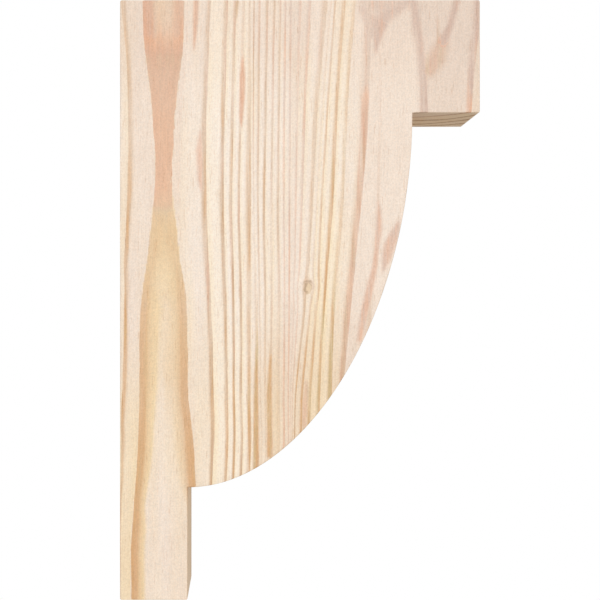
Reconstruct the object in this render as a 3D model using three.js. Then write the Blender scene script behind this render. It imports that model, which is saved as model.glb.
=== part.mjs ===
// A timber corbel bracket sawn from one softwood block: a tall leg that stands against
// the wall, a ledge that carries what rests on it, and one bellied curve between them.
//
// Millimetres. The origin is the middle of the wall face. +X points out from the wall,
// +Y runs through the block's thickness and +Z points up.

import * as THREE from "three";

const INCH = 25.4;

// Overall size of the block.
const DEPTH = 12 * INCH;
const HEIGHT = 20 * INCH;
const THICKNESS = 3.5 * INCH;

// What the saw leaves around the curve.
const LEG_WIDTH = 2.25 * INCH;
const FOOT_DROP = 3.75 * INCH;
const LEDGE_HEIGHT = 3.75 * INCH;
const LEDGE_OVERHANG = 2.25 * INCH;

// The curve is one cubic from the ledge to the leg. A handle of 0.552 of each reach
// would draw a true quarter ellipse, and this one is a little flatter in its middle.
const CURVE_HANDLE = 0.5315;
const CURVE_STEPS = 96;

// Every sharp corner is eased with sandpaper.
const CORNER_RADIUS = 1.6;
const CORNER_STEPS = 4;
const ARRIS = 1.1;
const ARRIS_STEPS = 3;

const TIMBER = { color: 0xeed7c0, roughness: 0.62, metalness: 0 };

// The corners of the side outline that the saw cuts straight to, and the curve's ends.
function outlinePoints() {
  const top = HEIGHT / 2;
  const bottom = -HEIGHT / 2;
  return {
    wallTop: new THREE.Vector2(0, top),
    wallBottom: new THREE.Vector2(0, bottom),
    footFront: new THREE.Vector2(LEG_WIDTH, bottom),
    curveLow: new THREE.Vector2(LEG_WIDTH, bottom + FOOT_DROP),
    curveHigh: new THREE.Vector2(DEPTH - LEDGE_OVERHANG, top - LEDGE_HEIGHT),
    ledgeUnder: new THREE.Vector2(DEPTH, top - LEDGE_HEIGHT),
    ledgeTop: new THREE.Vector2(DEPTH, top),
  };
}

// Draws up to a corner between two straight sides and turns round it on a small radius.
function easeCorner(shape, before, corner, after) {
  const start = corner.clone().add(before.clone().sub(corner).setLength(CORNER_RADIUS));
  const end = corner.clone().add(after.clone().sub(corner).setLength(CORNER_RADIUS));
  const turn = new THREE.QuadraticBezierCurve(start, corner, end);
  turn.getPoints(CORNER_STEPS).forEach((point) => shape.lineTo(point.x, point.y));
}

// Adds the bellied curve, which leaves the leg level and meets the ledge upright.
function addCurve(shape, low, high) {
  const reach = high.x - low.x;
  const rise = high.y - low.y;
  const curve = new THREE.CubicBezierCurve(
    low,
    new THREE.Vector2(low.x + reach * CURVE_HANDLE, low.y),
    new THREE.Vector2(high.x, high.y - rise * CURVE_HANDLE),
    high,
  );
  curve.getPoints(CURVE_STEPS).forEach((point) => shape.lineTo(point.x, point.y));
}

// The side outline, counterclockwise from the middle of the wall face.
function sideOutline() {
  const at = outlinePoints();
  const shape = new THREE.Shape();
  shape.moveTo(0, 0);
  easeCorner(shape, at.wallTop, at.wallBottom, at.footFront);
  easeCorner(shape, at.wallBottom, at.footFront, at.curveLow);
  addCurve(shape, at.curveLow, at.curveHigh);
  easeCorner(shape, at.curveHigh, at.ledgeUnder, at.ledgeTop);
  easeCorner(shape, at.ledgeUnder, at.ledgeTop, at.wallTop);
  easeCorner(shape, at.ledgeTop, at.wallTop, at.wallBottom);
  shape.closePath();
  return shape;
}

// The block: the outline sawn through the thickness, with both of its faces' arrises eased.
function buildCorbel() {
  const geometry = new THREE.ExtrudeGeometry(sideOutline(), {
    depth: THICKNESS - 2 * ARRIS,
    steps: 1,
    curveSegments: 1,
    bevelEnabled: true,
    bevelThickness: ARRIS,
    bevelSize: ARRIS,
    bevelOffset: -ARRIS,
    bevelSegments: ARRIS_STEPS,
  });
  geometry.translate(0, 0, ARRIS - THICKNESS / 2);
  const mesh = new THREE.Mesh(geometry, new THREE.MeshStandardMaterial(TIMBER));
  mesh.name = "corbel";
  mesh.rotation.x = Math.PI / 2;
  return mesh;
}

const bracket = new THREE.Group();
bracket.name = "corbel_bracket";
bracket.add(buildCorbel());

export default bracket;
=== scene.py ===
"""A timber corbel bracket: one block of pale softwood, sawn, sanded and left bare.

The block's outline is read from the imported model. This script gives it eased edges, growth
rings that run right through it, a pin knot and a sanded surface, and lights it plainly.
"""

import math

import bpy
import numpy as np
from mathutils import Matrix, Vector, geometry, kdtree


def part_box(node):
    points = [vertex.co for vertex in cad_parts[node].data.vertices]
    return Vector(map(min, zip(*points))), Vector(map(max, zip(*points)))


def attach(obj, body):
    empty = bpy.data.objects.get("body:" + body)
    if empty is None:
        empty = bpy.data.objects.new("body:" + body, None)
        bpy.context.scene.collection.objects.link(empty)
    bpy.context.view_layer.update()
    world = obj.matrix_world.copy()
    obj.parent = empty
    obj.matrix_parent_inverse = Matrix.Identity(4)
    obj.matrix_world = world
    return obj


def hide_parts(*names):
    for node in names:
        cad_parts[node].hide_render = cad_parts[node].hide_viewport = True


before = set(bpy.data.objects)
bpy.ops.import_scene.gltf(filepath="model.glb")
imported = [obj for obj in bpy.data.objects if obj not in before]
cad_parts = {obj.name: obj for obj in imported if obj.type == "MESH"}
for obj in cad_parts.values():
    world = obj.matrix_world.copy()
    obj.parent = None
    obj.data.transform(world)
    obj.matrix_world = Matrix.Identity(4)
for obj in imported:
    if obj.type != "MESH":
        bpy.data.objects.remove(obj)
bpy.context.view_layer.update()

MM = 0.001
SEED = 41
# Corners that are the same to this many decimal places of a metre are one corner.
SAME_TO = 6

low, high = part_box("corbel")
DEPTH = high.x - low.x
THICKNESS = high.y - low.y
HEIGHT = high.z - low.z

# The photograph's view: square on to the side face, from straight in front of a point
# that lies a third of the way out from the wall. The block just fills the frame's height.
SENSOR_MM = 36.0
EYE_OUT = DEPTH / 3
EYE_DISTANCE = 12 * THICKNESS
FRAME_CENTRE_OUT = DEPTH / 2

# Mesh spacing, in millimetres. The grain runs up and down, so cells are taller than wide.
OUTLINE_STEP = 2.0
THICKNESS_STEP = 2.2
NEAR_CELL = (1.3, 2.6)
FAR_CELL = (1.8, 3.2)
# How far the points inside a side keep clear of its border, in cells.
CELL_CLEARANCE = 0.6

# How hand sanding rounds the edges, in millimetres: the radius, how far it wanders and over
# what length, and its least and greatest. Then the number of facets in the round.
ARRIS = 1.0
ARRIS_WANDER = 0.3
ARRIS_WANDER_LENGTH = 50.0
ARRIS_RANGE = (0.4, 1.5)
ARRIS_STEPS = 4

# Growth rings, in millimetres, with heights from the block's middle. The pith stands this
# far out from the wall and this far in front of the side face, so that the rings open out
# behind it.
PITH_OUT = 37.0
PITH_AWAY = 80.0
# The tangent band, where one ring lies along the side face: height, half its width.
TANGENT_BAND = (
    (254, 17.9), (212, 16.0), (169, 10.8), (127, 7.6), (102, 7.1), (64, 10.6), (42, 12.9),
    (0, 18.7), (-42, 20.3), (-85, 21.1), (-110, 22.9), (-127, 23.8), (-157, 25.6),
    (-170, 27.6), (-186, 30.4), (-254, 33.0),
)
# How far the pith leans out from its line down the block: height, millimetres.
PITH_LEAN = (
    (254, 0.0), (-60, 0.0), (-85, 0.3), (-115, 1.7), (-127, 1.8), (-157, 1.6), (-170, 2.6),
    (-186, 4.4), (-254, 5.4),
)
# How much the rings on the wall's side crowd inwards down the block: height, square
# millimetres. It sets in over a span beside the band, in millimetres.
WALL_CROWDING = (
    (254, 300), (203, 430), (169, 420), (127, 390), (102, 350), (59, 307), (32, 320),
    (21, 400), (8, 490), (-8, 485), (-42, 538), (-76, 555), (-93, 425), (-106, 320),
    (-118, 285), (-131, 210), (-152, 130), (-170, -60), (-190, -250), (-254, -250),
)
WALL_CROWDING_SPAN = 10.0
# Inside the band, how many square millimetres count as one ring.
BAND_SPAN = 1150.0

# The tangent band's tone down the block: height, how dark and its hue, as for the rings.
BAND_TONES = (
    (254, 0.88, 0.10), (225, 0.88, 0.14), (205, 0.78, 0.44), (190, 0.66, 0.40),
    (170, 0.64, 0.36), (150, 0.70, 0.28), (95, 0.69, 0.24), (82, 0.56, 0.29),
    (74, 0.48, 0.68), (60, 0.40, 0.74), (35, 0.44, 0.74), (20, 0.52, 0.74),
    (-8, 0.62, 0.76), (-42, 0.76, 0.80), (-85, 0.82, 0.80), (-127, 0.90, 0.80),
    (-254, 0.91, 0.80),
)
# How that tone weakens inwards: square millimetres inside the band's edge, and share.
BAND_FADE = (
    (0, 1.35), (110, 1.02), (190, 1.0), (235, 0.65), (290, 0.38), (350, 0.22), (420, 0.0),
)
# The least that this share comes to: height, share.
BAND_FADE_LEAST = ((90, 0.0), (130, 1.0), (212, 1.0), (237, 0.42), (254, 0.36))
# How deep that fade reaches: height, and how many times as deep.
BAND_FADE_REACH = (
    (254, 1.05), (200, 1.05), (100, 0.65), (21, 0.65), (-8, 0.95), (-85, 1.0),
    (-127, 1.12), (-152, 1.08), (-175, 1.15), (-195, 1.6), (-254, 1.6),
)
# On the side away from the wall it reaches this much deeper in the lower part, and the band
# is this much paler near the top.
BAND_REACH_MORE_OUT = 0.15
BAND_PALER_OUT_AT_TOP = 0.16
# The earlywood in the band's heart: height, how bright and how yellow it is there.
BAND_HEART = (
    (254, 0.45, 0.50), (95, 0.50, 0.40), (76, 0.55, 0.70), (60, 0.60, 0.95),
    (20, 0.60, 0.95), (8, 0.56, 0.85), (-8, 0.64, 0.50), (-42, 0.61, 0.50), (-62, 0.61, 0.48),
    (-80, 0.72, 0.34), (-127, 0.68, 0.36), (-186, 0.66, 0.14), (-254, 0.64, 0.14),
)
# Between its arms and its heart the band is yellower still in its lower half, and there
# less so on the side away from the wall.
BAND_INNER_YELLOW = 0.9
BAND_INNER_YELLOW_OUT = 0.2
# The first ring's earlywood is brighter on the side away from the wall, less so low down.
FIRST_RING_BRIGHTER_OUT = 0.20
FIRST_RING_LESS_LOW = 0.4
# Beside the wall the earlywood is duller past the first ring and yellower low down, where
# the first ring is a little brighter. The latewood there is thinner and paler.
WALL_DULLER = 0.32
WALL_YELLOW = 0.45
WALL_FIRST_RING_BRIGHTER = 0.064
WALL_LATE_THINNER = 0.15
WALL_LATE_PALER = 0.05
# Near the top the earlywood is duller. Low down it is yellower, and where the rings stand
# close it is yellower still, and duller too.
HIGH_DULLER = 0.27
LOW_YELLOW = 0.20
LOW_OUT_YELLOWER = 0.20
LOW_OUT_DULLER = 0.33
# The earlywood is yellower in a run of golden rings, numbered from 0 as in RINGS, and low
# down this share of that is gone.
GOLD_RINGS = (17, 20)
GOLD_YELLOW = 0.22
GOLD_FADE = 0.8
# How the latewood's hue shifts low down, near the top and beside the wall.
LOW_HUE = 0.10
HIGH_HUE = -0.04
WALL_HUE = 0.10
# Over the ledge the latewood turns towards plum, and more so, and paler, where that begins.
LEDGE_PLUM = 0.30
ARCH_PLUM = 0.12
ARCH_PALER = 0.32

# Where each of these sets in, from none of it to all of it: by height, by distance from the
# wall or past the pith, or in square millimetres inside the band's edge.
LOW_HEIGHTS = (30, -100)
HIGH_HEIGHTS = (150, 240)
WALLWARD_OF_PITH = (5, 15)
OUTWARD_OF_PITH = (10, 20)
BAND_TOP_HEIGHTS = (200, 225)
BAND_INNER_HEIGHTS = (15, -15)
BAND_INNER_FROM = (140, 230)
BAND_INNER_UNTIL = (430, 340)
WALL_YELLOW_HEIGHTS = (-20, -170)
LOW_OUT_HEIGHTS = (20, -80)
LOW_OUT_FROM_WALL = (108, 124)
GOLD_HEIGHTS = (130, 40)
GOLD_FADE_HEIGHTS = (10, -70)
LEDGE_HEIGHTS = (160, 190)
LEDGE_FROM_WALL = (195, 205)
ARCH_FROM_WALL = (225, 215)

# The noise in the shader moves a ring's ends. So its latewood's tone carries on past its
# outer end, and its earlywood's tone begins before its inner end, by these shares of a ring.
LATE_OVERLAP = 0.12
EARLY_OVERLAP = 0.05

# Where guide rings cross the side face at seven even heights, from the top to the foot,
# in millimetres from the wall.
GUIDE_RINGS = (
    (77.2, 73.8, 73.1, 76.9, 79.2, 76.2, 78.0),
    (98.6, 96.9, 95.1, 96.9, 97.0, 94.4, 91.5),
    (106.1, 103.6, 101.5, 103.5, 103.0, 101.2, 99.0),
    (111.2, 111.2, 111.2, 110.7, 110.4, 107.8, 105.4),
    (114.0, 113.1, 113.5, 115.6, 116.0, 115.2, 114.0),
    (119.1, 118.1, 117.4, 118.7, 119.4, 117.8, 116.4),
    (125.9, 124.4, 122.9, 123.8, 123.0, 120.6, 118.9),
    (131.7, 130.1, 129.1, 129.2, 128.0, 125.7, 123.4),
    (136.8, 135.5, 134.8, 135.9, 135.1, 131.2, 127.6),
    (144.8, 144.4, 143.9, 143.9, 142.7, 139.7, 136.3),
    (176.5, 168.5, 163.8, 157.9, 148.6, 143.5, 140.1),
    (183.3, 177.4, 171.9, 168.1, 162.1, 156.2, 152.0),
    (190.9, 184.6, 180.3, 173.6, 168.5, 163.0, 157.9),
    (200.2, 193.0, 189.7, 182.5, 179.1, 174.8, 170.6),
    (212.9, 211.2, 204.6, 196.0, 187.5, 178.2, 169.8),
    (221.8, 221.0, 220.1, 214.2, 204.0, 193.9, 183.7),
    (250.6, 260.6, 262.5, 259.9, 256.5, 252.3, 248.1),
    (306.4, 298.5, 294.5, 291.7, 288.3, 284.9, 281.5),
    (330.0, 324.0, 320.0, 316.0, 312.0, 308.0, 304.0),
)

# Each ring where it crosses the side face at mid height: millimetres from the wall, the
# share of the ring that is latewood, how dark that is near the top, above the middle and
# low down, its hue from 0 for plum through salmon, red, tan and gold to 1 for olive, and
# how bright and how yellow the earlywood inside it is. A value a little past the end of its
# scale leaves less to the noise.
RINGS = (
    (55.6, 0.98, (1.00, 1.00, 1.00), 0.60, 0.45, 0.40),
    (76.9, 0.31, (0.58, 0.86, 0.95), 0.60, 0.60, 0.05),
    (90.4, 0.34, (0.80, 0.86, 0.96), 0.62, 1.05, 0.10),
    (96.9, 0.50, (0.66, 0.80, 1.12), 0.60, 1.05, 0.10),
    (103.5, 0.46, (0.35, 0.88, 1.20), 0.58, 1.08, 0.10),
    (110.7, 0.66, (0.35, 0.88, 0.92), 0.68, 1.05, 0.05),
    (115.6, 0.50, (0.80, 0.22, 0.45), 0.58, 0.85, 0.05),
    (118.7, 0.55, (0.65, 0.66, 0.25), 0.60, 0.85, 0.05),
    (123.8, 0.54, (0.55, 0.82, 0.30), 0.58, 0.92, 0.00),
    (129.2, 0.46, (0.75, 0.38, 0.70), 0.54, 0.90, 0.05),
    (135.9, 0.54, (0.55, 0.62, 0.45), 0.56, 0.84, 0.05),
    (140.0, 0.55, (0.55, 0.50, 0.65), 0.10, 0.84, 0.00),
    (144.1, 0.50, (0.50, 0.65, 0.55), 0.06, 0.74, 0.00),
    (147.9, 0.45, (0.40, 0.45, 0.35), 0.10, 0.66, 0.00),
    (151.5, 0.50, (0.50, 0.55, 0.30), 0.12, 0.74, 0.00),
    (157.9, 0.50, (0.55, 0.68, 0.92), 0.62, 0.86, 0.05),
    (162.2, 0.50, (0.22, 0.20, 0.95), 0.70, 0.86, 0.10),
    (167.6, 0.52, (0.62, 0.62, 0.90), 0.78, 0.90, 0.14),
    (174.0, 0.52, (0.66, 0.82, 1.15), 0.84, 0.96, 0.22),
    (182.3, 0.52, (0.42, 0.58, 1.08), 0.86, 1.00, 0.24),
    (196.2, 0.54, (0.78, 0.80, 0.98), 0.44, 0.78, 0.05),
    (214.2, 0.30, (0.05, 0.28, 0.50), 0.54, 0.66, -0.15),
    (259.9, 0.26, (0.76, 0.66, 0.60), 0.05, 0.68, -0.30),
    (291.7, 0.17, (0.92, 1.04, 1.02), 0.23, 0.34, -0.30),
    (306.0, 0.34, (0.90, 0.90, 0.90), 0.68, 0.40, 0.30),
    (322.0, 0.38, (0.90, 0.90, 0.90), 0.68, 0.40, 0.30),
    (340.0, 0.38, (0.90, 0.90, 0.90), 0.68, 0.40, 0.30),
    (357.0, 0.34, (0.80, 0.80, 0.80), 0.68, 0.40, 0.30),
)
RING_OUT, LATE_SHARE, LATE_INKS, LATE_HUE, EARLY_LIGHT, EARLY_YELLOW = (
    np.array(column) for column in zip(*RINGS)
)
# The heights of the three degrees of darkness.
INK_HEIGHTS = (195, 60, -70)

# Towards the ledge's end the rings turn to lie along the side face: how many more of them
# the thickness comes to cross, between which distances from the wall that sets in, and
# over how many millimetres beyond them it is one ring less.
TURNED_RINGS = 2.6
TURN_FROM = 160.0
TURN_TO = 255.0
TURN_EVENS_OUT = 33.0

# How deep flames and streaks go in, where a ring only grazes the side face.
STREAK_DEPTH = 5.0
# Each one's darkness, hue and how far its edges blur, then its points, each of them
# (millimetres from the wall, height, width).
STREAKS = (
    (0.75, 0.32, 1.2, ((64.6, 256.0, 4.2), (63.9, 235.4, 4.0), (62.7, 212.2, 1.5))),
    (0.90, 0.68, 0.7, ((99.5, 256.0, 3.2), (98.3, 247.2, 3.8), (97.4, 237.1, 2.1))),
    (0.86, 0.22, 1.0, ((103.7, 210.0, 1.0), (103.7, 190.5, 4.6), (103.5, 173.6, 4.6),
                       (102.6, 156.6, 3.4), (102.4, 143.9, 1.0))),
    (0.60, 0.29, 2.0, ((68.6, 146.2, 0.8), (67.7, 126.8, 6.6), (68.6, 101.6, 5.6),
                       (71.4, 82.7, 0.8))),
    (1.12, 0.84, 0.9, ((116.0, 6.0, 0.5), (115.9, -21.0, 1.2), (115.8, -42.3, 2.0),
                       (115.4, -62.0, 3.0), (115.1, -84.7, 3.6), (115.3, -110.1, 4.2),
                       (115.2, -143.9, 4.8))),
    (0.95, 0.82, 0.9, ((127.6, -30.0, 0.5), (127.6, -42.3, 1.6), (127.1, -62.0, 3.2),
                       (126.3, -80.4, 4.2), (126.7, -105.8, 4.4), (126.7, -131.2, 5.0))),
    (0.80, 0.02, 2.2, ((216.8, 208.0, 1.0), (217.2, 217.0, 4.5), (218.4, 226.0, 9.0),
                       (220.4, 233.0, 12.0))),
    (0.60, -0.05, 3.0, ((206.0, 246.0, 7.0), (211.0, 238.0, 11.0), (214.0, 229.0, 10.0),
                        (211.0, 222.0, 3.0))),
    (0.68, -0.05, 4.0, ((215.8, 236.0, 9.0), (224.0, 240.0, 12.0), (235.0, 247.0, 9.0),
                        (246.0, 254.0, 7.0))),
    (0.52, 0.00, 5.0, ((207.0, 254.0, 10.0), (222.0, 252.0, 20.0), (244.0, 254.0, 14.0))),
    (0.78, -0.05, 2.2, ((247.6, 254.0, 7.0), (251.0, 238.0, 5.5), (254.6, 215.0, 4.5),
                        (258.5, 180.0, 2.4))),
    (0.92, -0.05, 1.8, ((286.0, 256.0, 4.8), (283.6, 248.0, 4.8), (279.8, 233.0, 5.5))),
    (0.90, 0.04, 2.4, ((279.8, 233.0, 5.0), (276.6, 226.0, 6.5), (273.4, 219.0, 8.5))),
    (0.60, 0.55, 4.5, ((273.0, 217.0, 10.0), (268.0, 205.0, 15.0), (262.0, 195.0, 12.0))),
    (0.95, 0.62, 0.7, ((269.4, 241.0, 1.2), (269.4, 219.0, 1.7))),
    (0.72, 0.12, 1.5, ((219.0, 88.1, 0.5), (219.3, 74.5, 3.4), (219.3, 61.0, 5.5),
                       (217.2, 42.3, 3.8), (215.6, 28.0, 4.2), (209.6, 1.0, 6.5),
                       (206.2, -14.0, 6.0), (202.5, -33.9, 4.0))),
    (0.76, 0.06, 2.0, ((237.2, 68.0, 1.3), (232.6, 56.9, 7.6), (227.8, 44.9, 9.3),
                       (225.2, 35.6, 7.6), (222.7, 25.1, 2.4))),
    (0.60, 0.49, 2.5, ((158.3, -69.4, 2.5), (157.5, -84.7, 5.9), (154.9, -105.8, 6.8))),
)

# The pin knot: where its branch meets the side face, the way it runs into the block and
# its two radii there, in millimetres.
KNOT_AT = (159.2, 10.2)
KNOT_RUN = Vector((0.35, 0.93, 0.1)).normalized()
KNOT_RADII = (3.6, 5.4)
# How far from its middle its dark crescent and its dark brow lie, in its radii.
KNOT_CRESCENT = 0.74
KNOT_BROW = 1.12
# The grain parts round it by this share at most, out to about these two distances.
KNOT_PARTING = 0.55
KNOT_SPREAD = (7.5, 11.0)
# How its parts fade: from where to where, in its radii, and from what strength to what.
# The bark's rim is a row of places outwards, each with its strength.
KNOT_HALO_OUTWARDS = (0.9, 2.0, 0.75, 0.0)
KNOT_HALO_UPWARDS = (-0.6, 1.0, 0.3, 1.0)
KNOT_HEART_OUTWARDS = (0.8, 1.0, 0.85, 0.0)
KNOT_BARK = ((0.6, 0.0), (0.8, 0.5), (0.9, 0.5), (1.05, 0.0))
KNOT_BARK_UPWARDS = (-0.7, 0.4, 0.0, 1.0)
KNOT_CRESCENT_BESIDE = (0.12, 0.34, 0.85, 0.0)
KNOT_CRESCENT_RIGHTWARDS = (-0.3, 0.2, 1.0, 0.0)
KNOT_CRESCENT_UPWARDS = (-1.0, -0.6, 0.25, 1.0)
KNOT_BROW_BESIDE = (0.06, 0.26, 0.7, 0.0)
KNOT_BROW_TO_ENDS = (0.75, 1.2, 1.0, 0.0)
# How much the brow droops at its ends and follows the unevenness of the knot's outline.
KNOT_BROW_DROOP = 0.3
KNOT_BROW_WOBBLE = 0.6

# Wood tones, as screen colours: earlywood from dull through pink to bright, and latewood by
# its hue.
EARLY_TONES = ((231, 211, 195), (243, 224, 207), (254, 241, 227))
YELLOW_TINT = (255, 247, 218)
LATE_PLUM = (213, 184, 168)
LATE_SALMON = (232, 177, 143)
LATE_RED = (220, 172, 144)
LATE_TAN = (213, 181, 149)
LATE_GOLD = (221, 174, 126)
LATE_OLIVE = (213, 186, 142)
LATE_TONES = (LATE_PLUM, LATE_SALMON, LATE_RED, LATE_TAN, LATE_GOLD, LATE_OLIVE)
KNOT_DARK = (191, 162, 133)
KNOT_LIGHT = (236, 211, 178)
KNOT_HALO = (233, 204, 178)
# The cut ends' two tints and the sawn edges' tint go by which way a face points. They are
# partly the grain's own tone and partly painted shade, warm like the faces turned from the key
# light.
END_GRAIN_AND_SHADE_TINT = (240, 234, 220)
END_LATE_AND_SHADE_TINT = (206, 192, 170)
EDGE_GRAIN_AND_SHADE_TINT = (255, 248, 238)
FLECK_TINT = (226, 205, 186)
WARM_TINT = (255, 252, 249)

# Noises: the size of their features along each axis, in millimetres, then their detail and,
# where it isn't half, their roughness.
UNSTEADY = ((9, 9, 60), 3)
RAGGED = ((1.1, 1.1, 7), 2)
LATE_FADING = ((2.4, 2.4, 55), 2)
LIGHT_DRIFT = ((22, 22, 90), 2)
YELLOW_DRIFT = ((14, 14, 120), 1)
HUE_BLOTCH = ((4, 4, 60), 3)
KNOT_WOBBLE = ((2.6, 2.6, 3.4), 3)
FIBRE = ((0.75, 0.75, 16), 2)
PORES = ((1.1, 1.1, 1.3), 2, 0.65)
ACROSS = ((6, 6, 0.9), 1)
FLECKS = ((0.9, 0.9, 13), 1)
WARMTH = ((1.6, 1.6, 2.2), 1)
# How far the noises move a ring's ends, in rings, the earlywood's light and yellow, and the
# knot's outline, in its radii.
UNSTEADY_BY = 0.12
RAGGED_BY = 0.03
LIGHT_DRIFT_BY = 0.35
YELLOW_DRIFT_BY = 0.7
KNOT_WOBBLE_BY = 1.1
# How far the tone swings with the fibre, with the pores and with the marks across.
FIBRE_SHARE = 0.2
PORES_SHARE = 0.38
ACROSS_SHARE = 0.06
# Latewood across its own width: place, strength. It comes in softly and ends sharply.
LATE_PROFILE = ((0.0, 0.0), (0.25, 0.3), (0.45, 0.85), (0.65, 1.0), (0.9, 1.0), (1.0, 0.7))
# Between these shares of its ring latewood comes to count as broad, which doesn't fade.
BROAD_LATEWOOD = (0.7, 0.9)
# How far the latewood's hue swings in blotches, where it is narrow and where it is broad.
HUE_BLOTCH_BY = (0.8, 0.35)
# How a noise or a place sets the strength of something: from where to where, and from what
# strength to what.
LATE_FADES = (0.3, 0.7, 0.5, 1.2)
STREAK_RAGGED = (-0.25, 0.25, 0.75, 1.1)
STREAK_OVER_RING = (0.0, 0.1, 0.0, 1.0)
YELLOW_PAST_LATEWOOD = (0.0, 0.35, 0.35, 0.0)
YELLOW_WHERE_BRIGHT = (0.6, 0.9, 0.0, 1.0)
FLECKS_SHOW = (0.66, 0.76, 0.0, 0.5)
WARMTH_SHOWS = (0.35, 0.65, 0.0, 1.0)
# How far the fibre and the latewood stand up, as shares of the bump's depth, that depth in
# millimetres and the bump's strength. Then the roughness of earlywood and of latewood.
FIBRE_RAISED = 0.5
LATE_RAISED = 0.35
BUMP_DEPTH = 0.08
BUMP_STRENGTH = 0.35
ROUGHNESS = (0.66, 0.58)

# How strongly the white surround lights the block, and each lamp's power in watts, width
# in metres and place.
WORLD_LIGHT = 0.445
LAMPS = {
    "key": (37.8, 2.4, (0.0, -2.6, 0.6)),
    "top": (11.0, 1.6, (0.4, -0.2, 2.1)),
    "side": (4.5, 1.6, (2.4, -0.6, 0.0)),
    "back": (17.0, 2.0, (-0.4, 2.6, 0.9)),
}
# How far the floor lies below the block's foot, its radius and how far from its middle it
# fades out, in metres, then the corners of its rim and its tone.
FLOOR_DROP = 0.35
FLOOR_RADIUS = 1.3
FLOOR_FADE = (0.55, 0.97 * FLOOR_RADIUS)
FLOOR_CORNERS = 96
FLOOR_TONE = (240, 239, 236)


def linear(color):
    """A screen colour of 0 to 255 as the linear colour that a shader takes."""
    unit = np.array(color, float) / 255
    return tuple(np.where(unit <= 0.04045, unit / 12.92, ((unit + 0.055) / 1.055) ** 2.4))


def rgba(color):
    """A screen colour as the opaque linear colour that a socket or a ramp takes."""
    return (*linear(color), 1)


def grey(value):
    """An opaque grey as a linear colour."""
    return (value, value, value, 1)


def smoothstep(start, end, value):
    """0 before start, 1 past end and a smooth climb between, in either direction."""
    t = np.clip((value - start) / (end - start), 0, 1)
    return t * t * (3 - 2 * t)


def smooth_through(positions, values, where):
    """A smooth cubic curve through values at rising positions, read at each of where."""
    positions = np.asarray(positions, float)
    values = np.asarray(values, float)
    slopes = np.gradient(values, positions, axis=0)
    i = np.clip(np.searchsorted(positions, where) - 1, 0, len(positions) - 2)
    span = positions[i + 1] - positions[i]
    t = (where - positions[i]) / span
    shape = (-1, *[1] * (values.ndim - 1))
    t = t.reshape(shape)
    span = span.reshape(shape)
    return (
        (2 * t**3 - 3 * t**2 + 1) * values[i]
        + (t**3 - 2 * t**2 + t) * span * slopes[i]
        + (3 * t**2 - 2 * t**3) * values[i + 1]
        + (t**3 - t**2) * span * slopes[i + 1]
    )


def at_height(table, z):
    """The columns of a table by height, read at each height in z."""
    heights, *columns = np.array(sorted(table), float).T
    return [np.interp(z, heights, column) for column in columns]


def ripples(points, sizes, seed, waves=14):
    """Smooth seeded noise between about -1 and 1, with a feature size for each axis."""
    rng = np.random.default_rng(seed)
    total = np.zeros(len(points))
    for _ in range(waves):
        direction = rng.normal(size=3)
        direction *= 2 * math.pi / np.linalg.norm(direction) * rng.uniform(0.6, 1.4)
        total += np.sin((points / np.array(sizes)) @ direction + rng.uniform(0, 2 * math.pi))
    return total / math.sqrt(waves)


def side_outline(node):
    """The node's widest section: its (x, z) corners in order, counterclockwise in x, z."""
    co = np.array([vertex.co for vertex in node.data.vertices])
    section = -np.abs(co[:, 1]).min()
    in_section = np.abs(co[:, 1] - section) < 10**-SAME_TO
    keys = [tuple(np.round(point[[0, 2]], SAME_TO)) for point in co]
    links = {}
    for polygon in node.data.polygons:
        for a, b in polygon.edge_keys:
            if in_section[a] and in_section[b] and keys[a] != keys[b]:
                links.setdefault(keys[a], set()).add(keys[b])
                links.setdefault(keys[b], set()).add(keys[a])
    path = [min(links, key=lambda key: (key[0], -key[1]))]
    while True:
        onward = [key for key in links[path[-1]] if key not in path[-2:-1]]
        if len(path) > 2 and path[0] in onward:
            break
        path.append(onward[0])
    outline = np.array(path)
    x, z = outline.T
    area = np.sum(x * np.roll(z, -1) - np.roll(x, -1) * z)
    return outline if area > 0 else outline[::-1]


def resampled(outline, step):
    """The outline with every edge longer than step cut into equal lengths."""
    points = []
    for here, there in zip(outline, np.roll(outline, -1, axis=0)):
        count = max(1, math.ceil(np.linalg.norm(there - here) / step))
        points += [here + (there - here) * k / count for k in range(count)]
    return np.array(points)


def inward_miters(outline):
    """For each corner, the step inwards that moves both of its edges in by one unit."""
    edges = np.roll(outline, -1, axis=0) - outline
    edges /= np.linalg.norm(edges, axis=1)[:, None]
    normals = np.stack([-edges[:, 1], edges[:, 0]], axis=1)
    before = np.roll(normals, 1, axis=0)
    return (before + normals) / (1 + np.sum(before * normals, axis=1))[:, None]


def edge_rings(outline):
    """Rings of points round the block, from the near side's border to the far side's."""
    miters = inward_miters(outline)
    around = np.column_stack([outline[:, 0], np.zeros(len(outline)), outline[:, 1]])
    wander = ripples(around, (ARRIS_WANDER_LENGTH * MM,) * 3, SEED)
    radius = np.clip(ARRIS + ARRIS_WANDER * wander, *ARRIS_RANGE) * MM
    turn = np.linspace(0, math.pi / 2, ARRIS_STEPS + 1)
    rounding = [(radius * (1 - math.sin(a)), radius * (1 - math.cos(a))) for a in turn]
    straight = math.ceil(THICKNESS / (THICKNESS_STEP * MM))
    shares = np.linspace(0, 1, straight + 1)[1:-1]
    rows = [(inset, low.y + back) for inset, back in rounding]
    rows += [(0 * radius, low.y + radius + (THICKNESS - 2 * radius) * s) for s in shares]
    rows += [(inset, high.y - back) for inset, back in reversed(rounding)]
    rings = []
    for inset, y in rows:
        flat = outline + miters * inset[:, None]
        rings.append(np.column_stack([flat[:, 0], y, flat[:, 1]]))
    return np.array(rings)


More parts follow.
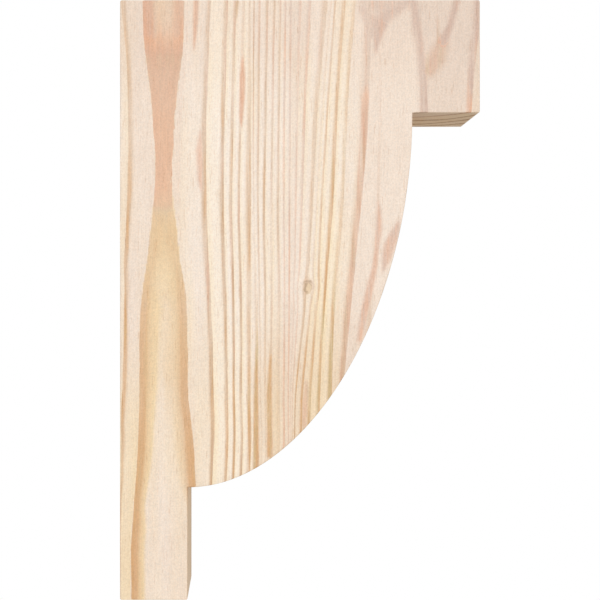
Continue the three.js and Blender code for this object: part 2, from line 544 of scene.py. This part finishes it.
def filled(border, cell):
    """Fills a closed border in x, z with triangles, over a grid of points inside it. Returns
    the points, the triangles and, for each point, its place in the border or a number that
    is no place there."""
    width, tall = cell[0] * MM, cell[1] * MM
    near_border = kdtree.KDTree(len(border))
    for index, point in enumerate(border):
        near_border.insert((point[0] * tall / width, 0, point[1]), index)
    near_border.balance()
    following = np.roll(border, -1, axis=0)
    inside = []
    for z in np.arange(border[:, 1].min() + tall / 2, border[:, 1].max(), tall):
        crosses = (border[:, 1] > z) != (following[:, 1] > z)
        here, there = border[crosses], following[crosses]
        share = (z - here[:, 1]) / (there[:, 1] - here[:, 1])
        walls = np.sort(here[:, 0] + share * (there[:, 0] - here[:, 0]))
        for left, right in zip(walls[::2], walls[1::2]):
            margin = CELL_CLEARANCE * width
            count = max(1, round((right - left - 2 * margin) / width))
            inside += [(x, z) for x in np.linspace(left + margin, right - margin, count + 1)]
    clear = [
        (x, z)
        for x, z in inside
        if near_border.find((x * tall / width, 0, z))[2] > CELL_CLEARANCE * tall
    ]
    stretched = [Vector((x * tall / width, z)) for x, z in [*map(tuple, border), *clear]]
    ring = list(range(len(border)))
    only_inside = 1
    same_point = 1e-7
    filling = geometry.delaunay_2d_cdt(stretched, [], [ring], only_inside, same_point)
    places, _, triangles, sources = filling[:4]
    points = np.array([(place.x * width / tall, place.y) for place in places])
    origin = [found[0] if found else -1 for found in sources]
    return points, triangles, origin


def build_block(outline):
    """The whole block as one closed mesh: two filled sides and the strip round them."""
    rings = edge_rings(outline)
    count = len(outline)
    vertices = list(rings.reshape(-1, 3))
    faces = []
    for row in range(len(rings) - 1):
        for i in range(count):
            j = (i + 1) % count
            here, behind = row * count, (row + 1) * count
            faces.append((here + i, behind + i, behind + j, here + j))
    for ring, cell, y, first in (
        (rings[0], NEAR_CELL, low.y, 0),
        (rings[-1], FAR_CELL, high.y, (len(rings) - 1) * count),
    ):
        points, triangles, origin = filled(ring[:, [0, 2]], cell)
        number = {}
        for index, (point, source) in enumerate(zip(points, origin)):
            if 0 <= source < count:
                number[index] = first + source
            else:
                number[index] = len(vertices)
                vertices.append(np.array((point[0], y, point[1])))
        for triangle in triangles:
            corners = [number[index] for index in triangle]
            faces.append(corners if y < 0 else corners[::-1])
    mesh = bpy.data.meshes.new("corbel_timber")
    mesh.from_pydata([tuple(vertex) for vertex in vertices], [], faces)
    mesh.validate()
    mesh.update()
    mesh.shade_smooth()
    return mesh


def guide_crossings(z):
    """For each height, how far out from the pith every listed ring meets the side face."""
    heights, halves = np.array(sorted(TANGENT_BAND), float).T
    band = smooth_through(heights, halves, z)
    listed = RING_OUT - PITH_OUT
    even = np.linspace(-HEIGHT / 2, HEIGHT / 2, len(GUIDE_RINGS[0])) / MM
    guides = np.array(GUIDE_RINGS).T[::-1] - PITH_OUT
    guide_mid = np.concatenate([[listed[0]], guides[len(even) // 2]])
    guide_now = np.column_stack([band, smooth_through(even, guides, z)])
    crossings = np.empty((len(z), len(listed)))
    # Each listed ring keeps its place between the two guides beside it.
    for k, ring in enumerate(listed):
        g = int(np.clip(np.searchsorted(guide_mid, ring) - 1, 0, len(guide_mid) - 2))
        share = (ring - guide_mid[g]) / (guide_mid[g + 1] - guide_mid[g])
        crossings[:, k] = guide_now[:, g] + share * (guide_now[:, g + 1] - guide_now[:, g])
    return crossings


def parted_round_knot(x, back, z):
    """How far out the grain at each point would lie if it didn't part round the knot."""
    knot_x = KNOT_AT[0] + back * KNOT_RUN.x / KNOT_RUN.y
    knot_z = KNOT_AT[1] + back * KNOT_RUN.z / KNOT_RUN.y
    nearness = ((x - knot_x) / KNOT_SPREAD[0]) ** 2 + ((z - knot_z) / KNOT_SPREAD[1]) ** 2
    return knot_x + (x - knot_x) * (1 - KNOT_PARTING * np.exp(-nearness))


def ring_phase(points):
    """Ring ends as whole numbers, counted outwards from the tangent band's edge, and how
    far inside that edge each point is, in square millimetres."""
    x, y, z = (points / MM).T
    back = y - low.y / MM
    x = parted_round_knot(x, back, z)
    crossings = guide_crossings(z)
    band = crossings[:, 0]
    # The rings are circles round the pith. This is how far out from it each point's circle
    # meets the side face, squared.
    out = x - PITH_OUT - at_height(PITH_LEAN, z)[0]
    square = out**2 + back**2 + 2 * back * PITH_AWAY
    crowding = at_height(WALL_CROWDING, z)[0]
    square += crowding * smoothstep(0, WALL_CROWDING_SPAN, -out - band)
    reach = np.sqrt(square)
    ring = np.clip((reach[:, None] >= crossings).sum(1) - 1, 1, len(RINGS) - 2)
    rows = np.arange(len(ring))
    start, end = crossings[rows, ring], crossings[rows, ring + 1]
    outer = ring + (reach - start) / (end - start)
    span = np.where(square < band**2, BAND_SPAN, crossings[:, 1] ** 2 - band**2)
    inner = (square - band**2) / span
    phase = np.where(inner < 1, inner, outer)
    turned = TURNED_RINGS - (x - TURN_TO) / TURN_EVENS_OUT
    phase += turned * smoothstep(TURN_FROM, TURN_TO, x) * back / (THICKNESS / MM)
    return phase, band**2 - square


def streak_amounts(points):
    """How strongly each point is inside a flame or streak, and its hue there."""
    x, y, z = (points / MM).T
    amount = np.zeros(len(x))
    hue = np.full(len(x), 0.5)
    fade = np.exp(-(((y - low.y / MM) / STREAK_DEPTH) ** 2))
    for darkness, tone, blur, path in STREAKS:
        for (x0, z0, w0), (x1, z1, w1) in zip(path, path[1:]):
            run = np.array((x1 - x0, z1 - z0))
            t = ((x - x0) * run[0] + (z - z0) * run[1]) / (run @ run)
            t = np.clip(t, 0, 1)
            distance = np.hypot(x - x0 - t * run[0], z - z0 - t * run[1])
            half = (w0 + t * (w1 - w0)) / 2
            here = darkness * fade * (1 - smoothstep(half - blur, half + blur, distance))
            # The thin tips are weaker.
            here *= np.clip(half, 0, 1)
            hue = np.where(here > amount, tone, hue)
            amount = np.maximum(amount, here)
    return amount, hue


def band_tone(z, within, outward):
    """The tangent band's latewood tone and hue, and its heart's brightness and yellow."""
    away = outward > 0
    reach_more = BAND_REACH_MORE_OUT * smoothstep(*LOW_HEIGHTS, z) * away
    depth = within / (at_height(BAND_FADE_REACH, z)[0] * (1 + reach_more))
    depths, shares = np.array(BAND_FADE).T
    least = at_height(BAND_FADE_LEAST, z)[0]
    ink, hue = at_height(BAND_TONES, z)
    ink = ink * np.maximum(np.interp(depth, depths, shares), least)
    ink *= 1 - BAND_PALER_OUT_AT_TOP * smoothstep(*BAND_TOP_HEIGHTS, z) * away
    light, yellow = at_height(BAND_HEART, z)
    inner = smoothstep(*BAND_INNER_FROM, depth) * smoothstep(*BAND_INNER_UNTIL, depth)
    yellower = np.where(away, BAND_INNER_YELLOW_OUT, BAND_INNER_YELLOW)
    yellow = yellow + yellower * inner * smoothstep(*BAND_INNER_HEIGHTS, z)
    return ink, hue, light, yellow


def ring_at(phase):
    """The number of the ring that each phase lies in."""
    return np.clip(np.ceil(phase), 0, len(RINGS) - 1).astype(int)


def parts_of_block(x, z):
    """How far each point is in the lower part, in the upper part and beside the wall."""
    wallward = smoothstep(*WALLWARD_OF_PITH, PITH_OUT - x)
    return smoothstep(*LOW_HEIGHTS, z), smoothstep(*HIGH_HEIGHTS, z), wallward


def early_tone(phase, x, z):
    """The earlywood's brightness and yellow, outside the tangent band's heart."""
    ring = ring_at(phase + EARLY_OVERLAP)
    lower, upper, wallward = parts_of_block(x, z)
    first = phase < 1 - EARLY_OVERLAP
    outward = smoothstep(*OUTWARD_OF_PITH, x - PITH_OUT)
    brighter = FIRST_RING_BRIGHTER_OUT * outward * (1 - FIRST_RING_LESS_LOW * lower)
    light = EARLY_LIGHT[ring] - HIGH_DULLER * upper + brighter * first
    light -= wallward * np.where(first, -WALL_FIRST_RING_BRIGHTER * lower, WALL_DULLER)
    low_out = smoothstep(*LOW_OUT_HEIGHTS, z) * smoothstep(*LOW_OUT_FROM_WALL, x)
    light -= LOW_OUT_DULLER * low_out
    yellow = EARLY_YELLOW[ring] + LOW_YELLOW * lower + LOW_OUT_YELLOWER * low_out
    golden = (ring >= GOLD_RINGS[0]) & (ring <= GOLD_RINGS[1])
    gold = smoothstep(*GOLD_HEIGHTS, z) * (1 - GOLD_FADE * smoothstep(*GOLD_FADE_HEIGHTS, z))
    yellow += GOLD_YELLOW * gold * golden
    yellow += WALL_YELLOW * smoothstep(*WALL_YELLOW_HEIGHTS, z) * wallward
    return light, yellow


def late_tone(phase, x, z):
    """The latewood's share of its ring, and its darkness and hue outside the tangent band."""
    ring = ring_at(phase - LATE_OVERLAP)
    lower, upper, wallward = parts_of_block(x, z)
    share = LATE_SHARE[ring] * (1 - WALL_LATE_THINNER * wallward * (phase > LATE_OVERLAP))
    # Its darkness changes evenly between the heights that it is given for.
    level = np.interp(z, INK_HEIGHTS[::-1], (2, 1, 0))
    here = np.clip(level.astype(int), 0, 1)
    below = LATE_INKS[ring, here + 1]
    ink = LATE_INKS[ring, here] + (level - here) * (below - LATE_INKS[ring, here])
    ink *= 1 - WALL_LATE_PALER * wallward
    hue = LATE_HUE[ring] + LOW_HUE * lower + HIGH_HUE * upper + WALL_HUE * wallward
    over_ledge = smoothstep(*LEDGE_FROM_WALL, x) * smoothstep(*LEDGE_HEIGHTS, z)
    arch_side = over_ledge * smoothstep(*ARCH_FROM_WALL, x)
    hue -= LEDGE_PLUM * over_ledge + ARCH_PLUM * arch_side
    ink *= 1 - ARCH_PALER * arch_side
    return share, ink, hue


def grain_attributes(points, normals):
    """Everything that the timber's shader reads at a point, by name."""
    x, _, z = (points / MM).T
    phase, within = ring_phase(points)
    in_band = phase < LATE_OVERLAP
    in_heart = phase < 0
    band_ink, band_hue, heart_light, heart_yellow = band_tone(z, within, x - PITH_OUT)
    share, ink, hue = late_tone(phase, x, z)
    light, yellow = early_tone(phase, x, z)
    streak, streak_hue = streak_amounts(points)
    return {
        "ring": phase,
        "late_share": share,
        "late_ink": np.where(in_band, band_ink, ink),
        "late_hue": np.where(in_band, band_hue, hue),
        "early_light": np.where(in_heart, heart_light, light),
        "early_yellow": np.where(in_heart, heart_yellow, yellow),
        "streak": streak,
        "streak_hue": streak_hue,
        # How far each point faces up or down, and along x. The shader tints cut ends and sawn
        # edges by these, partly as the grain's own tone and partly as painted shade.
        "end_grain_and_shade": normals[:, 2] ** 2,
        "edge_grain_and_shade": normals[:, 0] ** 2,
    }


def store_attributes(mesh, values):
    """Keeps each array on the mesh as a float for every vertex."""
    for name, array in values.items():
        layer = mesh.attributes.new(name, "FLOAT", "POINT")
        layer.data.foreach_set("value", np.asarray(array, np.float32))


class Shader:
    """Short calls that add nodes to one material."""

    def __init__(self, name):
        self.material = bpy.data.materials.new(name)
        self.material.use_nodes = True
        self.tree = self.material.node_tree
        self.tree.nodes.clear()

    def node(self, kind, inputs=None, **settings):
        """Adds a node, sets its properties and fills or links its inputs by name."""
        made = self.tree.nodes.new("ShaderNode" + kind)
        for key, value in settings.items():
            setattr(made, key, value)
        for key, value in (inputs or {}).items():
            self.put(made.inputs[key], value)
        return made

    def put(self, socket, value):
        """Links a socket's value, or sets it as a constant."""
        if isinstance(value, bpy.types.NodeSocket):
            self.tree.links.new(value, socket)
        else:
            socket.default_value = value

    def math(self, operation, a, b=0.0, clamp=False):
        """One step of arithmetic on up to two values."""
        return self.node("Math", {0: a, 1: b}, operation=operation, use_clamp=clamp).outputs[0]

    def remap(self, value, low_in, high_in, low_out, high_out, smooth=False):
        """A value carried from one span to another and held at its ends."""
        kind = "SMOOTHSTEP" if smooth else "LINEAR"
        names = ("Value", "From Min", "From Max", "To Min", "To Max")
        inputs = dict(zip(names, (value, low_in, high_in, low_out, high_out)))
        return self.node("MapRange", inputs, interpolation_type=kind).outputs[0]

    def between(self, factor, a, b):
        """A value from a, where factor is 0, to b, where it is 1."""
        return self.node("Mix", {0: factor, 2: a, 3: b}).outputs[0]

    def mix(self, factor, a, b, blend="MIX"):
        """Two colours blended by a factor."""
        mixed = self.node("Mix", {0: factor, 6: a, 7: b}, data_type="RGBA", blend_type=blend)
        return mixed.outputs[2]

    def attribute(self, name):
        """One of the values stored on the mesh."""
        return self.node("Attribute", attribute_name=name).outputs["Fac"]

    def ramp(self, factor, stops):
        """A colour ramp from (position, linear colour) stops."""
        made = self.node("ValToRGB", {0: factor})
        elements = made.color_ramp.elements
        while len(elements) < len(stops):
            elements.new(0.5)
        for element, (position, color) in zip(elements, stops):
            element.position = position
            element.color = color
        return made.outputs["Color"]

    def even_ramp(self, factor, colors):
        """A colour ramp through screen colours at even steps from 0 to 1."""
        last = len(colors) - 1
        return self.ramp(factor, [(k / last, rgba(color)) for k, color in enumerate(colors)])

    def noise(self, where, size, detail=2.0, roughness=0.5):
        """Noise of about 0.5 whose features have a size along each axis, in millimetres."""
        scale = tuple(1 / (axis * MM) for axis in size)
        scaled = self.node("Mapping", {"Vector": where, "Scale": scale}).outputs[0]
        inputs = {"Vector": scaled, "Scale": 1.0, "Detail": detail, "Roughness": roughness}
        return self.node("TexNoise", inputs).outputs[0]

    def swing(self, where, noise, reach=1.0):
        """A listed noise as a swing about zero, within half of reach either way."""
        centred = self.math("SUBTRACT", self.noise(where, *noise), 0.5)
        return self.math("MULTIPLY", centred, reach)


def add_ring_latewood(s, where, place, broad):
    """How much latewood shows at each point, by its place in its ring."""
    share = s.attribute("late_share")
    late_from = s.math("SUBTRACT", 1.0, share)
    into_late = s.math("DIVIDE", s.math("SUBTRACT", place, late_from), share, clamp=True)
    profile = s.ramp(into_late, [(at, grey(strength)) for at, strength in LATE_PROFILE])
    fading = s.remap(s.noise(where, *LATE_FADING), *LATE_FADES)
    fading = s.between(broad, fading, 1.0)
    ink = s.math("MULTIPLY", s.attribute("late_ink"), fading)
    return s.math("MULTIPLY", profile, ink)


def add_earlywood(s, where, place):
    """The earlywood's colour. Where it is bright, it is yellower just past the latewood."""
    drift = s.swing(where, LIGHT_DRIFT, LIGHT_DRIFT_BY)
    light = s.math("ADD", s.attribute("early_light"), drift)
    color = s.even_ramp(light, EARLY_TONES)
    just_past = s.remap(place, *YELLOW_PAST_LATEWOOD)
    just_past = s.math("MULTIPLY", just_past, s.remap(light, *YELLOW_WHERE_BRIGHT))
    yellow_drift = s.swing(where, YELLOW_DRIFT, YELLOW_DRIFT_BY)
    yellow = s.math("ADD", s.attribute("early_yellow"), yellow_drift)
    yellow = s.math("ADD", yellow, just_past, clamp=True)
    return s.mix(yellow, color, rgba(YELLOW_TINT), "MULTIPLY")


def add_latewood_color(s, where, streaked, broad):
    """The latewood's colour, by its ring's hue or the streak's, in soft blotches."""
    hue = s.between(streaked, s.attribute("late_hue"), s.attribute("streak_hue"))
    reach = s.remap(broad, 0.0, 1.0, *HUE_BLOTCH_BY)
    blotch = s.math("MULTIPLY", s.swing(where, HUE_BLOTCH), reach)
    return s.even_ramp(s.math("ADD", hue, blotch), LATE_TONES)


def add_rings(s, where):
    """Earlywood and latewood, with the streaks; returns the colour and the latewood's share."""
    unsteady = s.swing(where, UNSTEADY, UNSTEADY_BY)
    ragged = s.swing(where, RAGGED)
    phase = s.math("ADD", s.attribute("ring"), unsteady)
    phase = s.math("ADD", phase, s.math("MULTIPLY", ragged, RAGGED_BY))
    place = s.math("FRACT", phase)
    broad = s.remap(s.attribute("late_share"), *BROAD_LATEWOOD, 0.0, 1.0)
    ring_late = add_ring_latewood(s, where, place, broad)
    streak = s.math("MULTIPLY", s.attribute("streak"), s.remap(ragged, *STREAK_RAGGED))
    streaked = s.remap(s.math("SUBTRACT", streak, ring_late), *STREAK_OVER_RING)
    late = s.math("MAXIMUM", ring_late, streak, clamp=True)
    early_color = add_earlywood(s, where, place)
    late_color = add_latewood_color(s, where, streaked, broad)
    return s.mix(late, early_color, late_color), late


def add_cut_ends_and_painted_shade(s, wood, late):
    """Cut ends darker, latewood most, sawn edges warmer: part grain tone, part painted shade.
    """
    # The darker cut ends are partly painted shade on the faces that point up or down.
    end = s.attribute("end_grain_and_shade")
    wood = s.mix(end, wood, rgba(END_GRAIN_AND_SHADE_TINT), "MULTIPLY")
    wood = s.mix(s.math("MULTIPLY", end, late), wood, rgba(END_LATE_AND_SHADE_TINT), "MULTIPLY")
    # The warmer tint on faces along x, such as the leg's front, is partly the sawn edge's own
    # tone and partly painted warm shade.
    return s.mix(s.attribute("edge_grain_and_shade"), wood, rgba(EDGE_GRAIN_AND_SHADE_TINT), "MULTIPLY")


def add_knot_bark(s, radius, tall):
    """The knot's thin rim of bark, which fades towards its foot."""
    bark = s.ramp(radius, [(at, grey(strength)) for at, strength in KNOT_BARK])
    return s.math("MULTIPLY", bark, s.remap(tall, *KNOT_BARK_UPWARDS))


def add_knot_crescent(s, radius, wide, tall):
    """The dark crescent inside the rim at its left, which fades at its foot."""
    off_crescent = s.math("ABSOLUTE", s.math("SUBTRACT", radius, KNOT_CRESCENT))
    crescent = s.remap(off_crescent, *KNOT_CRESCENT_BESIDE)
    crescent = s.math("MULTIPLY", crescent, s.remap(wide, *KNOT_CRESCENT_RIGHTWARDS))
    return s.math("MULTIPLY", crescent, s.remap(tall, *KNOT_CRESCENT_UPWARDS))


def add_knot_brow(s, wide, tall, wobble):
    """The short dark brow over the knot, which droops at its ends."""
    droop = s.math("MULTIPLY", s.math("MULTIPLY", wide, wide), KNOT_BROW_DROOP)
    level = s.math("ADD", tall, droop)
    level = s.math("ADD", level, s.math("MULTIPLY", wobble, KNOT_BROW_WOBBLE))
    level = s.math("SUBTRACT", level, KNOT_BROW)
    brow = s.remap(s.math("ABSOLUTE", level), *KNOT_BROW_BESIDE)
    return s.math("MULTIPLY", brow, s.remap(s.math("ABSOLUTE", wide), *KNOT_BROW_TO_ENDS))


def add_knot(s, where, wood):
    """The pin knot: a pale heart in a soft halo, with its bark, crescent and brow in dark."""
    parts = s.node("SeparateXYZ", {0: where}).outputs
    back = s.math("SUBTRACT", parts[1], low.y)
    offsets = []
    runs = (KNOT_RUN.x, KNOT_RUN.z)
    for axis, middle, run, radius in zip((0, 2), KNOT_AT, runs, KNOT_RADII):
        offset = s.math("SUBTRACT", parts[axis], middle * MM)
        offset = s.math("SUBTRACT", offset, s.math("MULTIPLY", back, run / KNOT_RUN.y))
        offsets.append(s.math("DIVIDE", offset, radius * MM))
    wide, tall = offsets
    wobble = s.swing(where, KNOT_WOBBLE, KNOT_WOBBLE_BY)
    spread = s.node("CombineXYZ", {0: wide, 1: tall, 2: 0.0}).outputs[0]
    radius = s.node("VectorMath", {0: spread}, operation="LENGTH").outputs["Value"]
    radius = s.math("ADD", radius, wobble)
    halo = s.remap(radius, *KNOT_HALO_OUTWARDS, smooth=True)
    halo = s.math("MULTIPLY", halo, s.remap(tall, *KNOT_HALO_UPWARDS))
    wood = s.mix(halo, wood, rgba(KNOT_HALO))
    wood = s.mix(s.remap(radius, *KNOT_HEART_OUTWARDS), wood, rgba(KNOT_LIGHT))
    bark = add_knot_bark(s, radius, tall)
    crescent = add_knot_crescent(s, radius, wide, tall)
    brow = add_knot_brow(s, wide, tall, wobble)
    dark = s.math("MAXIMUM", s.math("MAXIMUM", bark, crescent), brow, clamp=True)
    return s.mix(dark, wood, rgba(KNOT_DARK))


def add_fibre(s, where, wood):
    """Fibre along the grain, pores and faint marks across, short dark flecks and warmth;
    returns the colour and the fibre."""
    fibre = s.noise(where, *FIBRE)
    pores = s.noise(where, *PORES)
    across = s.noise(where, *ACROSS)
    tone = 1 - (FIBRE_SHARE + PORES_SHARE + ACROSS_SHARE) / 2
    for noise, share in ((fibre, FIBRE_SHARE), (pores, PORES_SHARE), (across, ACROSS_SHARE)):
        tone = s.math("ADD", tone, s.math("MULTIPLY", noise, share))
    tone = s.node("CombineColor", {0: tone, 1: tone, 2: tone}).outputs[0]
    wood = s.mix(1.0, wood, tone, "MULTIPLY")
    flecks = s.remap(s.noise(where, *FLECKS), *FLECKS_SHOW)
    wood = s.mix(flecks, wood, rgba(FLECK_TINT), "MULTIPLY")
    warmth = s.remap(s.noise(where, *WARMTH), *WARMTH_SHOWS)
    return s.mix(warmth, wood, rgba(WARM_TINT), "MULTIPLY"), fibre


def timber_material():
    """Bare sanded softwood: rings, streaks and knot, then cut ends with painted shade, and
    fibre.
    """
    s = Shader("timber")
    where = s.node("TexCoord").outputs["Object"]
    wood, late = add_rings(s, where)
    wood = add_knot(s, where, wood)
    wood = add_cut_ends_and_painted_shade(s, wood, late)
    wood, fibre = add_fibre(s, where, wood)
    raised = s.math("MULTIPLY", fibre, FIBRE_RAISED)
    raised = s.math("ADD", raised, s.math("MULTIPLY", late, LATE_RAISED))
    depth = BUMP_DEPTH * MM
    bump = s.node("Bump", {"Strength": BUMP_STRENGTH, "Distance": depth, "Height": raised})
    rough = s.remap(late, 0.0, 1.0, *ROUGHNESS)
    shader = s.node(
        "BsdfPrincipled",
        {
            "Base Color": wood,
            "Roughness": rough,
            "IOR": 1.45,
            "Specular IOR Level": 0.35,
            "Normal": bump.outputs[0],
        },
    )
    s.node("OutputMaterial", {"Surface": shader.outputs[0]})
    return s.material


def floor_material():
    """Matt and pale, clear towards the rim."""
    s = Shader("pale_floor")
    where = s.node("TexCoord").outputs["Object"]
    away = s.node("VectorMath", {0: where}, operation="LENGTH").outputs["Value"]
    fade = s.remap(away, *FLOOR_FADE, 1.0, 0.0, smooth=True)
    pale = s.node("BsdfDiffuse", {"Color": rgba(FLOOR_TONE)}).outputs[0]
    clear = s.node("BsdfTransparent").outputs[0]
    mixed = s.node("MixShader", {0: fade, 1: clear, 2: pale}).outputs[0]
    s.node("OutputMaterial", {"Surface": mixed})
    return s.material


def light_surround():
    """A plain white surround, which the camera sees brighter than it lights the block."""
    world = bpy.data.worlds.new("studio")
    world.use_nodes = True
    tree = world.node_tree
    tree.nodes.clear()
    seen = tree.nodes.new("ShaderNodeLightPath").outputs["Is Camera Ray"]
    strength = tree.nodes.new("ShaderNodeMapRange")
    strength.inputs["To Min"].default_value = WORLD_LIGHT
    strength.inputs["To Max"].default_value = 1.0
    background = tree.nodes.new("ShaderNodeBackground")
    background.inputs["Color"].default_value = (1, 1, 1, 1)
    output = tree.nodes.new("ShaderNodeOutputWorld")
    tree.links.new(seen, strength.inputs["Value"])
    tree.links.new(strength.outputs[0], background.inputs["Strength"])
    tree.links.new(background.outputs[0], output.inputs["Surface"])
    bpy.context.scene.world = world


def light_lamps():
    """A broad key light in front of the block and weaker ones round it."""
    target = Vector((DEPTH / 2, 0, 0))
    for name, (power, size, place) in LAMPS.items():
        data = bpy.data.lights.new(name, "AREA")
        data.energy = power
        data.size = size
        lamp = bpy.data.objects.new(name, data)
        lamp.location = place
        lamp.rotation_euler = (target - Vector(place)).to_track_quat("-Z", "Y").to_euler()
        bpy.context.scene.collection.objects.link(lamp)


def lay_floor():
    """A plain pale disc well below the bracket, which fades out towards its rim."""
    bpy.ops.mesh.primitive_circle_add(
        vertices=FLOOR_CORNERS,
        radius=FLOOR_RADIUS,
        fill_type="NGON",
        location=(DEPTH / 2, 0, low.z - FLOOR_DROP),
    )
    floor = bpy.context.object
    floor.name = "floor"
    floor.data.materials.append(floor_material())


def place_camera():
    """Square on to the side face, with the whole height just filling the frame."""
    data = bpy.data.cameras.new("camera")
    data.sensor_width = SENSOR_MM
    data.lens = SENSOR_MM * EYE_DISTANCE / HEIGHT
    data.shift_x = (FRAME_CENTRE_OUT - EYE_OUT) / HEIGHT
    data.dof.use_dof = False
    camera = bpy.data.objects.new("camera", data)
    camera.location = (EYE_OUT, low.y - EYE_DISTANCE, 0)
    camera.rotation_euler = (math.pi / 2, 0, 0)
    bpy.context.scene.collection.objects.link(camera)
    bpy.context.scene.camera = camera


def vertex_arrays(mesh):
    """The mesh's points and normals as arrays."""
    arrays = []
    for vectors, field in ((mesh.vertices, "co"), (mesh.vertex_normals, "vector")):
        flat = np.zeros(len(mesh.vertices) * 3, np.float32)
        vectors.foreach_get(field, flat)
        arrays.append(flat.reshape(-1, 3).astype(float))
    return arrays


def build_timber():
    """The block with its grain, in the CAD solid's place."""
    outline = resampled(side_outline(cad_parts["corbel"]), OUTLINE_STEP * MM)
    mesh = build_block(outline)
    points, normals = vertex_arrays(mesh)
    store_attributes(mesh, grain_attributes(points, normals))
    timber = bpy.data.objects.new("corbel_timber", mesh)
    bpy.context.scene.collection.objects.link(timber)
    mesh.materials.append(timber_material())
    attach(timber, "root")
    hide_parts("corbel")


place_camera()
light_surround()
light_lamps()
lay_floor()
build_timber()
bpy.context.scene.view_settings.view_transform = "Standard"
